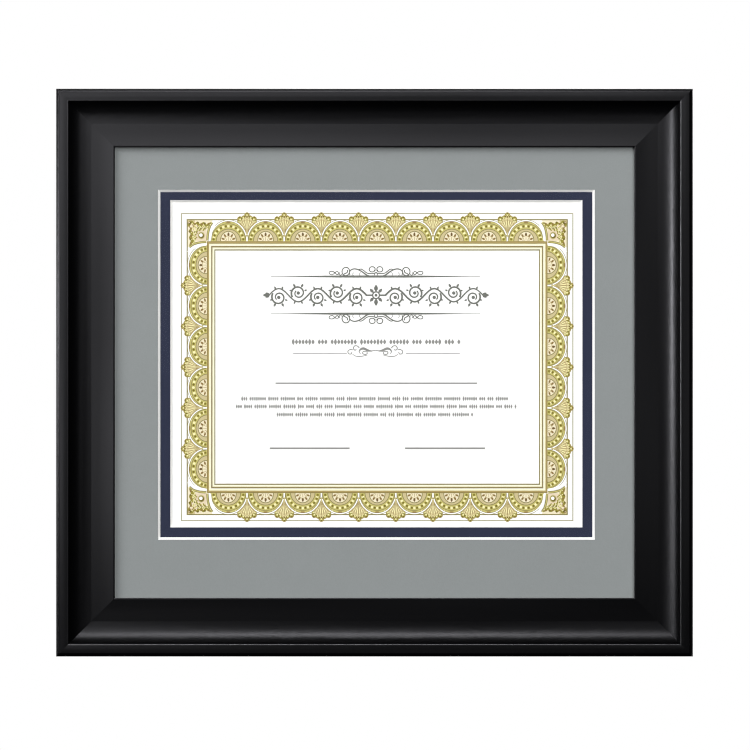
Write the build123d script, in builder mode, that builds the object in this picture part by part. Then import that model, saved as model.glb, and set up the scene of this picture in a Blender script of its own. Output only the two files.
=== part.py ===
from build123d import *
import os

# Wall-hung certificate frame, landscape. Millimetres, +Z up, +X to the right as
# seen from the front, front towards -Y. The origin is the point where the wall
# nail bears in the middle notch of the sawtooth hanger.

# ---------------------------------------------------------------- dimensions
frame_w = 382.7            # overall width
frame_h = 341.3            # overall height
frame_d = 25.4             # depth of the moulding
face_w = 35.25              # width of the moulding face, outer edge to sight edge
rabbet_w = 6.35            # width of the rabbet behind the sight edge
rabbet_d = 13.0            # depth of the rabbet, filled by the pack
lip_t = 3.0                # thickness of the lip at the sight edge

rim_w = 7.35               # raised outer rim
rim_crown = 0.45           # rise of the crown across the rim
rim_outer_r = 2.4
rim_inner_r = 1.0
sight_r = 0.9
cove_u, cove_top = 21.15, -1.23        # centre of the scoop's elliptical part
cove_a, cove_b = 13.46, 11.68          # its semi-axes
cove_sweep = 67.1          # degrees of it, up to where the steep wall is tangent
sight_d = frame_d - rabbet_d - lip_t   # depth of the sight edge, 9.4
back_chamfer = 0.6

pack_w, pack_h = 323.9, 282.5          # glazing, mats, mount board and back
glazing_t = 2.0
mat_t = 1.4                # four-ply board, so a 45 degree bevel is as wide
mat_tape_t = 0.1
sheet_t = 0.25
hinge_t = 0.05
pocket_t = sheet_t + 2 * hinge_t
mount_t = 4.75
backing_t = rabbet_d - glazing_t - 2 * mat_t - mat_tape_t - pocket_t - mount_t

# windows, at the front face of each mat, from the centre of the frame
top_window = (-130.1, 132.35, -100.4, 109.9)       # x0, x1, z0, z1
bottom_window = (-122.7, 124.95, -93.0, 103.7)

sheet_w, sheet_h = 254.0, 203.2        # 10 x 8 in
sheet_cx, sheet_cz = 1.6, 3.4

nail_above_centre = 158.0
hanger_l, hanger_h, hanger_t = 45.0, 9.6, 0.9
hanger_lift = 1.5
tooth_pitch, tooth_depth, tooth_count = 2.5, 1.6, 10
tab_l = 6.2
pin_x = 19.4
pin_r, pin_l = 0.8, 10.0

button_w, button_t = 9.5, 1.0
button_tail, button_reach = 5.0, 19.0  # behind and in front of the screw
button_gap = 0.15
button_inset = 7.5         # from the rabbet's edge to the screw
screw_r, screw_core_r, screw_l = 1.4, 1.05, 12.0
screw_head_r, screw_head_h = 2.8, 1.8
pilot_r = 1.44
button_hole_r = screw_r + 0.08
button_x = 90.0            # along the top and bottom rails
button_z = 75.0            # along the side rails

bumper_r, bumper_t = 5.5, 3.2
bumper_x, bumper_drop = 165.0, 157.5

v_leg, v_t, v_depth, v_sink = 4.6, 0.7, 8.0, 0.3
v_places = (10.5, 21.0)    # apex from the outer corner, along each side

# ---------------------------------------------------------------- datum lines
yb = -(hanger_lift + hanger_t / 2)     # back face of the rails
yf = yb - frame_d                      # foremost line of the rim
zc = -nail_above_centre                # centre height of the frame
half_w, half_h = frame_w / 2, frame_h / 2

y_glass = yf + sight_d + lip_t         # rabbet shoulder, front of the glazing
y_top_mat = y_glass + glazing_t
y_tape = y_top_mat + mat_t
y_bottom_mat = y_tape + mat_tape_t
y_sheet = y_bottom_mat + mat_t
y_mount = y_sheet + pocket_t
y_backing = y_mount + mount_t


def front_plane(y):
    """A plane that faces the front: its x is +X, its y is +Z, and a positive extrusion comes forward."""
    return Plane(origin=(0, y, 0), x_dir=(1, 0, 0), z_dir=(0, -1, 0))


def slab(y_front, thickness, w, h, cx=0.0, cz=zc):
    with BuildPart() as sheet:
        with BuildSketch(front_plane(y_front + thickness)):
            with Locations((cx, cz)):
                Rectangle(w, h)
        extrude(amount=thickness)
    return sheet.part


# ---------------------------------------------------------------- rails
# corners of the frame in x and z, with the directions that lead inwards
corners = {
    "top_left": (-half_w, zc + half_h, 1, -1),
    "top_right": (half_w, zc + half_h, -1, -1),
    "bottom_left": (-half_w, zc - half_h, 1, 1),
    "bottom_right": (half_w, zc - half_h, -1, 1),
}


def v_outline(corner, at):
    """Plan of one V nail: its apex lies on the mitre and points inwards, with one leg in each rail."""
    x, z, sx, sz = corners[corner]
    ax, az = x + sx * at, z + sz * at
    t = v_t / 2
    return [
        (ax + sx * t, az + sz * t),
        (ax + sx * t, az - sz * v_leg),
        (ax - sx * t, az - sz * v_leg),
        (ax - sx * t, az - sz * t),
        (ax - sx * v_leg, az - sz * t),
        (ax - sx * v_leg, az + sz * t),
    ]


def rail(side, mitres, screws, pins=()):
    """One mitred length of moulding. mitres: (corner, normal of the kept side)."""
    if side in ("top", "bottom"):
        s = 1 if side == "top" else -1
        origin, inward, length = (0, yf, zc + s * half_h), (0, 0, -s), frame_w
    else:
        s = 1 if side == "right" else -1
        origin, inward, length = (s * half_w, yf, zc), (-s, 0, 0), frame_h
    along = Vector(*inward).cross(Vector(0, 1, 0))
    section = Plane(origin=origin, x_dir=inward, z_dir=along)

    back_w = face_w - rabbet_w
    with BuildPart() as piece:
        with BuildSketch(section):
            with BuildLine():
                rim = ThreePointArc((0, rim_crown), (rim_w / 2, 0), (rim_w, rim_crown))
                cove = EllipticalCenterArc(
                    (cove_u, cove_top), cove_a, cove_b, start_angle=90, arc_size=cove_sweep
                )
                low, high = sorted((cove @ 0, cove @ 1), key=lambda p: -p.Y)
                Line(rim @ 1, (high.X, high.Y))
                TangentArc((low.X, low.Y), (face_w, sight_d), tangent=(1, 0))
                Line((face_w, sight_d), (face_w, sight_d + lip_t))
                Line((face_w, sight_d + lip_t), (back_w, sight_d + lip_t))
                Line((back_w, sight_d + lip_t), (back_w, frame_d))
                Line((back_w, frame_d), (back_chamfer, frame_d))
                Line((back_chamfer, frame_d), (0, frame_d - back_chamfer))
                Line((0, frame_d - back_chamfer), rim @ 0)
            make_face()
            for (u, d), r in (
                ((0, rim_crown), rim_outer_r),
                ((rim_w, rim_crown), rim_inner_r),
                ((face_w, sight_d), sight_r),
            ):
                spot = min(
                    vertices(), key=lambda v: (Vector(v.X, v.Y) - Vector(u, d)).length
                )
                fillet(spot, r)
        extrude(amount=length / 2 + 1, both=True)
        for corner, normal in mitres:
            cx, cz_, _, _ = corners[corner]
            split(bisect_by=Plane(origin=(cx, 0, cz_), z_dir=normal), keep=Keep.TOP)
        with BuildSketch(front_plane(yb)):
            for corner, _ in mitres:
                for at in v_places:
                    with BuildLine():
                        Polyline(*v_outline(corner, at), close=True)
                    make_face()
        extrude(amount=v_depth + v_sink, mode=Mode.SUBTRACT)
        with BuildSketch(front_plane(yb)):
            with Locations(*screws):
                Circle(pilot_r)
        extrude(amount=screw_l, mode=Mode.SUBTRACT)
        if pins:
            with BuildSketch(front_plane(yb)):
                with Locations(*pins):
                    Circle(pin_r)
            extrude(amount=pin_l, mode=Mode.SUBTRACT)
    return piece.part


screw_z_top = zc + half_h - (face_w - rabbet_w) + button_inset
screw_z_bottom = zc - half_h + (face_w - rabbet_w) - button_inset
screw_x_side = half_w - (face_w - rabbet_w) + button_inset
pin_z = 4.0

rail_top = rail(
    "top",
    (("top_left", (1, 0, 1)), ("top_right", (-1, 0, 1))),
    ((-button_x, screw_z_top), (button_x, screw_z_top)),
    ((-pin_x, pin_z), (pin_x, pin_z)),
)
rail_bottom = rail(
    "bottom",
    (("bottom_left", (1, 0, -1)), ("bottom_right", (-1, 0, -1))),
    ((-button_x, screw_z_bottom), (button_x, screw_z_bottom)),
)
rail_left = rail(
    "left",
    (("top_left", (-1, 0, -1)), ("bottom_left", (-1, 0, 1))),
    ((-screw_x_side, zc + button_z), (-screw_x_side, zc - button_z)),
)
rail_right = rail(
    "right",
    (("top_right", (1, 0, -1)), ("bottom_right", (1, 0, 1))),
    ((screw_x_side, zc + button_z), (screw_x_side, zc - button_z)),
)


def corner_nails(corner):
    """The two V nails of one corner, sunk just under the back of the rails."""
    with BuildPart() as nails:
        with BuildSketch(front_plane(yb - v_sink)):
            for at in v_places:
                with BuildLine():
                    Polyline(*v_outline(corner, at), close=True)
                make_face()
        extrude(amount=v_depth)
    return nails.part


# ---------------------------------------------------------------- the pack
glazing = slab(y_glass, glazing_t, pack_w, pack_h)


def mat(y_front, window):
    """A mat board with a window whose 45 degree bevel faces the front."""
    x0, x1, z0, z1 = window
    cx, cz_ = (x0 + x1) / 2, zc + (z0 + z1) / 2
    w, h = x1 - x0, z1 - z0
    with BuildPart() as board:
        with BuildSketch(front_plane(y_front + mat_t)):
            with Locations((0, zc)):
                Rectangle(pack_w, pack_h)
        extrude(amount=mat_t)
        with BuildSketch(front_plane(y_front + mat_t)):
            with Locations((cx, cz_)):
                Rectangle(w - 2 * mat_t, h - 2 * mat_t)
        with BuildSketch(front_plane(y_front)):
            with Locations((cx, cz_)):
                Rectangle(w, h)
        loft(mode=Mode.SUBTRACT)
    return board.part


top_mat = mat(y_top_mat, top_window)
bottom_mat = mat(y_bottom_mat, bottom_window)

# double-sided strips between the mats, clear of the window
tape_w = 12.0
with BuildPart() as mat_tape:
    x0, x1, z0, z1 = top_window
    cx, cz_ = (x0 + x1) / 2, zc + (z0 + z1) / 2
    reach = mat_t + 4.0 + tape_w / 2
    with BuildSketch(front_plane(y_bottom_mat)):
        with Locations((cx, zc + z1 + reach), (cx, zc + z0 - reach)):
            Rectangle(x1 - x0, tape_w)
        with Locations((x0 - reach, cz_), (x1 + reach, cz_)):
            Rectangle(tape_w, z1 - z0 - 20)
    extrude(amount=mat_tape_t)

certificate = slab(y_sheet, sheet_t, sheet_w, sheet_h, sheet_cx, zc + sheet_cz)


def hinge_tape(x):
    """A T hinge: a strip stuck behind the sheet's top edge and up the mount, with a strip across it."""
    top = zc + sheet_cz + sheet_h / 2
    with BuildPart() as hinge:
        with BuildSketch(front_plane(y_mount)):
            with Locations((x, top + 4.5)):
                Rectangle(20.0, 25.0)
        extrude(amount=hinge_t)
        with BuildSketch(front_plane(y_mount - hinge_t)):
            with Locations((x, top + 9.5)):
                Rectangle(44.0, 14.0)
        extrude(amount=hinge_t)
        with BuildSketch(front_plane(y_mount)):
            with Locations((x - 16, top + 9.5), (x + 16, top + 9.5)):
                Rectangle(12.0, 14.0)
        extrude(amount=hinge_t)
    return hinge.part


hinge_tape_left = hinge_tape(sheet_cx - 75)
hinge_tape_right = hinge_tape(sheet_cx + 75)

mount_board = slab(y_mount, mount_t, pack_w, pack_h)

with BuildPart() as backing_board:
    with BuildSketch(front_plane(y_backing + backing_t)):
        with Locations((0, zc)):
            RectangleRounded(pack_w, pack_h, 1.5)
    extrude(amount=backing_t)
    chamfer(backing_board.faces().sort_by(Axis.Y)[-1].edges(), 0.3)

# ---------------------------------------------------------------- turn buttons


def turn_button(x, z, pointing):
    """A pressed strip that swivels on its screw. pointing: the direction of its finger, in x and z."""
    reach_dir = Vector(pointing[0], 0, pointing[1])
    side = Plane(origin=(x, 0, z), x_dir=reach_dir, z_dir=reach_dir.cross(Vector(0, 1, 0)))

    def plan(y):
        return Plane(origin=(x, y, z), x_dir=reach_dir, z_dir=(0, -1, 0))

    y0 = yb + button_gap
    half = button_w / 2
    with BuildPart() as button:
        with BuildSketch(side):
            with BuildLine():
                Polyline(
                    (-button_tail, y0),
                    (button_reach - 6.0, y0),
                    (button_reach - 1.6, y0 + 1.3),
                    (button_reach, y0 + 1.5),
                    (button_reach, y0 + 1.5 + button_t),
                    (button_reach - 1.8, y0 + 1.3 + button_t),
                    (button_reach - 6.3, y0 + button_t),
                    (-button_tail, y0 + button_t),
                    close=True,
                )
            make_face()
        extrude(amount=half, both=True)
        # raised rib along the finger
        with BuildSketch(plan(y0 + button_t)):
            with Locations((7.8, 0)):
                SlotOverall(7.6, 2.6)
        with BuildSketch(plan(y0 + button_t + 0.4)):
            with Locations((7.8, 0)):
                SlotOverall(6.8, 1.8)
        loft()
        with BuildSketch(plan(yb + 5)):
            with BuildLine():
                tail = ThreePointArc((0, half), (-button_tail, 0), (0, -half))
                Line((0, -half), (button_reach - 4.0, -half + 1.0))
                ThreePointArc(
                    (button_reach - 4.0, -half + 1.0),
                    (button_reach, 0),
                    (button_reach - 4.0, half - 1.0),
                )
                Line((button_reach - 4.0, half - 1.0), (0, half))
            make_face()
        extrude(amount=6, mode=Mode.INTERSECT)
        with BuildSketch(plan(yb + 5)):
            Circle(button_hole_r)
        extrude(amount=6, mode=Mode.SUBTRACT)
    return button.part


turn_buttons = {
    "turn_button_top_left": turn_button(-button_x, screw_z_top, (0, -1)),
    "turn_button_top_right": turn_button(button_x, screw_z_top, (0, -1)),
    "turn_button_bottom_left": turn_button(-button_x, screw_z_bottom, (0, 1)),
    "turn_button_bottom_right": turn_button(button_x, screw_z_bottom, (0, 1)),
    "turn_button_left_upper": turn_button(-screw_x_side, zc + button_z, (1, 0)),
    "turn_button_left_lower": turn_button(-screw_x_side, zc - button_z, (1, 0)),
    "turn_button_right_upper": turn_button(screw_x_side, zc + button_z, (-1, 0)),
    "turn_button_right_lower": turn_button(screw_x_side, zc - button_z, (-1, 0)),
}

# pan-head screw: plain neck through the button, ridged body in the wood
head_y = yb + button_gap + button_t + 0.1
with BuildPart() as screw:
    with BuildSketch(Plane(origin=(0, 0, 0), x_dir=(1, 0, 0), z_dir=(0, 0, 1))):
        with BuildLine():
            outline = [(0, yb - screw_l + 0.3), (screw_core_r * 0.4, yb - screw_l + 0.9)]
            y, pitch = yb - screw_l + 2.2, 1.2
            while y < yb - 1.6:
                outline += [
                    (screw_core_r, y),
                    (screw_r, y + pitch * 0.45),
                    (screw_core_r, y + pitch * 0.7),
                ]
                y += pitch
            outline += [(screw_core_r, yb - 1.0), (screw_r, yb - 0.7), (screw_r, head_y)]
            outline += [(screw_head_r - 0.1, head_y)]
            Polyline(*outline)
            Line((screw_head_r - 0.1, head_y), (screw_head_r, head_y + 0.25))
            ThreePointArc(
                (screw_head_r, head_y + 0.25),
                (screw_head_r * 0.8, head_y + screw_head_h * 0.72),
                (screw_head_r * 0.35, head_y + screw_head_h),
            )
            Line((screw_head_r * 0.35, head_y + screw_head_h), (0, head_y + screw_head_h))
            Line((0, head_y + screw_head_h), (0, yb - screw_l + 0.3))
        make_face()
    revolve(axis=Axis((0, 0, 0), (0, 1, 0)))
    with BuildSketch(front_plane(head_y + screw_head_h)):
        Rectangle(3.0, 0.75)
        Rectangle(0.75, 3.0)
    extrude(amount=1.1, taper=12, mode=Mode.SUBTRACT)

screw_places = [
    (-button_x, screw_z_top), (button_x, screw_z_top),
    (-button_x, screw_z_bottom), (button_x, screw_z_bottom),
    (-screw_x_side, zc + button_z), (-screw_x_side, zc - button_z),
    (screw_x_side, zc + button_z), (screw_x_side, zc - button_z),
]
turns = [20, 65, 5, 40, 75, 30, 55, 12]
with BuildPart() as turn_button_screws:
    for (x, z), turn in zip(screw_places, turns):
        with Locations(Location((x, 0, z), (0, turn, 0))):
            add(screw.part)

# ---------------------------------------------------------------- hanging
# sawtooth strip: flat tabs on the rail, the toothed middle standing clear of it
with BuildPart() as sawtooth_hanger:
    half_l, tab = hanger_l / 2, hanger_l / 2 - tab_l
    ramp = 2.2
    lower = [
        (-half_l, yb), (-tab, yb), (-tab + ramp, yb + hanger_lift),
        (tab - ramp, yb + hanger_lift), (tab, yb), (half_l, yb),
    ]
    upper = [
        (half_l, yb + hanger_t), (tab + 0.35, yb + hanger_t),
        (tab + 0.35 - ramp, yb + hanger_lift + hanger_t),
        (-tab - 0.35 + ramp, yb + hanger_lift + hanger_t),
        (-tab - 0.35, yb + hanger_t), (-half_l, yb + hanger_t),
    ]
    with BuildSketch(Plane(origin=(0, 0, -5), x_dir=(1, 0, 0), z_dir=(0, 0, 1))):
        with BuildLine():
            Polyline(*lower, *upper, close=True)
        make_face()
    extrude(amount=20)
    with BuildSketch(front_plane(yb + 5)):
        top_z = hanger_h - tooth_depth
        with BuildLine():
            edge = [(half_l, -tooth_depth), (half_l, top_z), (-half_l, top_z), (-half_l, -tooth_depth)]
            first = -tooth_pitch * tooth_count / 2
            for i in range(tooth_count + 1):
                x = first + i * tooth_pitch
                edge += [(x - tooth_pitch / 2, -tooth_depth), (x, 0)]
            edge += [(first + (tooth_count + 0.5) * tooth_pitch, -tooth_depth)]
            Polyline(*edge, close=True)
        make_face()
        ends = vertices().group_by(Axis.Y)[-1]
        fillet(ends, 2.0)
    extrude(amount=6, mode=Mode.INTERSECT)
    with BuildSketch(front_plane(yb + 5)):
        with Locations((-pin_x, pin_z), (pin_x, pin_z)):
            Circle(pin_r + 0.1)
    extrude(amount=6, mode=Mode.SUBTRACT)

# two round-headed pins
with BuildPart() as pin:
    with BuildSketch(Plane(origin=(0, 0, 0), x_dir=(1, 0, 0), z_dir=(0, 0, 1))):
        with BuildLine():
            Polyline(
                (0, yb - pin_l + 0.2), (pin_r, yb - pin_l + 1.8), (pin_r, yb + hanger_t),
                (1.7, yb + hanger_t), (1.7, yb + hanger_t + 0.2),
            )
            ThreePointArc(
                (1.7, yb + hanger_t + 0.2), (1.2, yb + hanger_t + 0.62), (0.4, yb + hanger_t + 0.85)
            )
            Line((0.4, yb + hanger_t + 0.85), (0, yb + hanger_t + 0.85))
            Line((0, yb + hanger_t + 0.85), (0, yb - pin_l + 0.2))
        make_face()
    revolve(axis=Axis((0, 0, 0), (0, 1, 0)))
with BuildPart() as hanger_pins:
    with Locations((-pin_x, 0, pin_z), (pin_x, 0, pin_z)):
        add(pin.part)


def bumper(x):
    """A self-adhesive rubber foot with a rounded shoulder and a flat face to the wall."""
    with BuildPart() as foot:
        with BuildSketch(front_plane(yb)):
            with Locations((x, zc - bumper_drop)):
                Circle(bumper_r)
        extrude(amount=-bumper_t)
        fillet(foot.edges().sort_by(Axis.Y)[-1], 1.2)
    return foot.part


# ---------------------------------------------------------------- write
pieces = {
    "rail_top": rail_top,
    "rail_bottom": rail_bottom,
    "rail_left": rail_left,
    "rail_right": rail_right,
    "corner_nails_top_left": corner_nails("top_left"),
    "corner_nails_top_right": corner_nails("top_right"),
    "corner_nails_bottom_left": corner_nails("bottom_left"),
    "corner_nails_bottom_right": corner_nails("bottom_right"),
    "glazing": glazing,
    "top_mat": top_mat,
    "mat_tape": mat_tape.part,
    "bottom_mat": bottom_mat,
    "certificate": certificate,
    "hinge_tape_left": hinge_tape_left,
    "hinge_tape_right": hinge_tape_right,
    "mount_board": mount_board,
    "backing_board": backing_board.part,
    **turn_buttons,
    "turn_button_screws": turn_button_screws.part,
    "sawtooth_hanger": sawtooth_hanger.part,
    "hanger_pins": hanger_pins.part,
    "bumper_left": bumper(-bumper_x),
    "bumper_right": bumper(bumper_x),
}

os.makedirs("parts", exist_ok=True)
for name, shape in pieces.items():
    shape.label = name
    export_step(shape, f"parts/{name}.step")
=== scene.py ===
import math

import bpy
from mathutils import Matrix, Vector


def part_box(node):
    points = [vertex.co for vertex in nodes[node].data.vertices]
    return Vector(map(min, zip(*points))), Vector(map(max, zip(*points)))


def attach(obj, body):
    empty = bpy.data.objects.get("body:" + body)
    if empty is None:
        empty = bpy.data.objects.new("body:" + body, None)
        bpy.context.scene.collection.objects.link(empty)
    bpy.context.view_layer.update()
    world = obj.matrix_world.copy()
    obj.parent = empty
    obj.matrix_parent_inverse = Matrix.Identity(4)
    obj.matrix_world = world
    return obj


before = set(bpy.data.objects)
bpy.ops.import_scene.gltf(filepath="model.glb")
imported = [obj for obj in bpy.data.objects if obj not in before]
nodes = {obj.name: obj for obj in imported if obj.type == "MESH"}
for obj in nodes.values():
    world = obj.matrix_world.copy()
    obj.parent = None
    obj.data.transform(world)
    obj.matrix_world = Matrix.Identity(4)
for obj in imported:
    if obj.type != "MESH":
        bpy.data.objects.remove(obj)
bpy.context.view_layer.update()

scene = bpy.context.scene
scene.view_settings.view_transform = "Standard"
scene.view_settings.look = "None"
scene.cycles.glossy_bounces = 0   # the lacquer mirrors the lamps, not the sheet
scene.cycles.filter_width = 1.1

# ---------------------------------------------------------------- sizes, metres, row frame
MIDDLE_Z = -0.158                 # height of the frame's middle; the wall nail is the origin
FRAME_HALF_W, FRAME_HALF_H = 0.19135, 0.17065
FRAME_BACK = -0.00195             # the rails' back faces
FRONT_Y = -0.02735                # the rims' front faces
SHEET_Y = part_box("certificate")[0].y
UNIT = 0.00060104                 # one unit of the sheet's artwork
ART_X, ART_Z = 2.7 * UNIT, MIDDLE_Z + 5.5 * UNIT   # middle of the printed border


# ---------------------------------------------------------------- camera
camera_data = bpy.data.cameras.new("camera")
camera_data.type = "ORTHO"
camera_data.ortho_scale = 750 * UNIT
camera_data.clip_start, camera_data.clip_end = 0.01, 20
camera = bpy.data.objects.new("camera", camera_data)
scene.collection.objects.link(camera)
camera.location = (0.5 * UNIT, -1.0, MIDDLE_Z - 2.4 * UNIT)
camera.rotation_euler = (math.pi / 2, 0, 0)
scene.camera = camera


# ---------------------------------------------------------------- studio
def softbox(name, place, aim, width, height, radiance, spread=180.0, tint=(1.0, 1.0, 1.0)):
    """A rectangular lamp at place that faces aim. radiance is what its face shows, in scene units."""
    data = bpy.data.lights.new(name, "AREA")
    data.shape = "RECTANGLE"
    data.size, data.size_y = width, height
    data.energy = radiance * width * height * math.pi
    data.spread = math.radians(spread)
    data.color = tint
    lamp = bpy.data.objects.new(name, data)
    scene.collection.objects.link(lamp)
    lamp.location = place
    lamp.rotation_mode = "QUATERNION"
    lamp.rotation_quaternion = (Vector(aim) - Vector(place)).to_track_quat("-Z", "Y")
    lamp.visible_camera = False
    lamp.visible_transmission = False
    return lamp


HEART = (0.0, -0.015, MIDDLE_Z)
# large soft lamps that light the mats and the sheet; the lacquer doesn't mirror them
for name, place, width, height, radiance in (
    ("key", (-2.3, -2.8, 2.0 + MIDDLE_Z), 3.00, 3.00, 5.6),
    ("top_light", (0.0, -3.0, 1.5 + MIDDLE_Z), 0.90, 1.80, 7.6),
    ("front_light", (0.75, -2.4, 0.05), 0.60, 0.60, 28.4),
):
    softbox(name, place, HEART, width, height, radiance).visible_glossy = False
softbox("back_panel", (0.5, 1.5, 0.5), HEART, 1.2, 1.2, 5.2)
# wide reflectors behind the frame, for the fittings on its back
for name, place, width, height, radiance in (
    ("back_card_low", (0.0, 1.30, -0.70), 2.2, 0.50, 0.85),
    ("back_card_middle", (-0.35, 1.40, -0.12), 0.90, 0.34, 0.60),
    ("back_card_left", (-1.20, 0.90, 0.10), 0.50, 1.30, 1.5),
    ("back_card_right", (1.30, 0.80, -0.20), 0.60, 1.10, 1.1),
    ("back_card_top", (-0.10, 0.80, 0.90), 1.30, 0.45, 2.0),
):
    softbox(name, place, HEART, width, height, radiance).visible_diffuse = False

# reflector cards that only show as reflections, from the middle of the frame:
# a front sheet at 0.33 m, a left wall and a ceiling at 0.60 m
# (face, from, to, from, to, radiance); the front is given by x and z, the left by y and z,
# the ceiling by y and x
CARDS = (
    ("left", -0.33, -0.23, 0.00, 0.10, 44.95),
    ("left", -0.33, -0.13, 0.40, 0.60, 42.46),
    ("left", -0.03, 0.07, 0.00, 0.10, 19.42),
    ("left", -0.13, -0.03, -0.10, 0.00, 9.59),
    ("ceiling", -0.23, -0.13, 0.00, 0.10, 7.31),
    ("ceiling", -0.23, -0.13, -0.20, -0.10, 5.52),
    ("front", -0.20, 0.00, 0.40, 0.60, 11.79),
    ("front", 0.00, 0.20, 0.40, 0.60, 7.92),
    ("front", -0.40, -0.30, 0.00, 0.10, 7.12),
    ("front", -0.60, -0.40, 0.00, 0.20, 2.99),
    ("front", -0.30, -0.20, 0.10, 0.20, 2.40),
    ("front", -0.30, -0.20, -0.10, 0.00, 1.94),
    ("front", -0.20, -0.10, 0.20, 0.30, 1.84),
    ("front", 0.00, 0.10, 0.20, 0.30, 1.63),
    ("front", -0.10, 0.00, 0.20, 0.30, 1.58),
    ("front", 0.10, 0.20, 0.20, 0.30, 1.49),
    ("front", -0.20, -0.10, 0.00, 0.10, 0.59),
    ("front", 0.10, 0.20, 0.10, 0.20, 0.57),
    ("front", -0.10, 0.00, 0.10, 0.20, 0.54),
    ("front", -0.20, -0.10, 0.10, 0.20, 0.51),
    ("front", 0.20, 0.30, 0.00, 0.10, 0.40),
    ("front", 0.20, 0.30, -0.10, 0.00, 0.31),
    ("front", 0.00, 0.10, 0.00, 0.10, 0.31),
    ("front", 0.10, 0.20, -0.10, 0.00, 0.26),
    ("front", 0.00, 0.10, -0.30, -0.20, 0.25),
    ("front", -0.20, 0.00, -0.20, 0.00, 0.11),
)
CARD_TINTS = {"left": (0.99, 0.985, 1.05), "front": (0.99, 0.985, 1.05), "ceiling": (1.0, 0.99, 1.04)}
for k, (face, a0, a1, b0, b1, radiance) in enumerate(CARDS):
    a, b = (a0 + a1) / 2, (b0 + b1) / 2
    if face == "front":
        place, towards, width, height = (a, -0.33, b + MIDDLE_Z), (0, 1, 0), a1 - a0, b1 - b0
    elif face == "left":
        place, towards, width, height = (-0.60, a, b + MIDDLE_Z), (1, 0, 0), a1 - a0, b1 - b0
    else:
        place, towards, width, height = (b, a, 0.60 + MIDDLE_Z), (0, 0, -1), b1 - b0, a1 - a0
    card = softbox(f"card_{k}", place, Vector(place) + Vector(towards), width, height, radiance,
                   tint=CARD_TINTS[face])
    card.visible_diffuse = False

world = bpy.data.worlds.new("studio")
world.use_nodes = True
scene.world = world
wn = world.node_tree.nodes
wn.clear()
w_out = wn.new("ShaderNodeOutputWorld")
w_mix = wn.new("ShaderNodeMixShader")
w_path = wn.new("ShaderNodeLightPath")
w_dim = wn.new("ShaderNodeBackground")
w_seen = wn.new("ShaderNodeBackground")
w_dim.inputs["Color"].default_value = (0.9, 0.95, 1.0, 1)
w_dim.inputs["Strength"].default_value = 0.01
w_seen.inputs["Color"].default_value = (1, 1, 1, 1)
w_seen.inputs["Strength"].default_value = 1.0
world.node_tree.links.new(w_path.outputs["Is Camera Ray"], w_mix.inputs["Fac"])
world.node_tree.links.new(w_dim.outputs[0], w_mix.inputs[1])
world.node_tree.links.new(w_seen.outputs[0], w_mix.inputs[2])
world.node_tree.links.new(w_mix.outputs[0], w_out.inputs["Surface"])


# ---------------------------------------------------------------- materials
def linear(r, g, b):
    """An sRGB colour, 0 to 255, as linear light."""
    def one(v):
        v /= 255.0
        return v / 12.92 if v <= 0.04045 else ((v + 0.055) / 1.055) ** 2.4
    return (one(r), one(g), one(b), 1.0)


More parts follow.
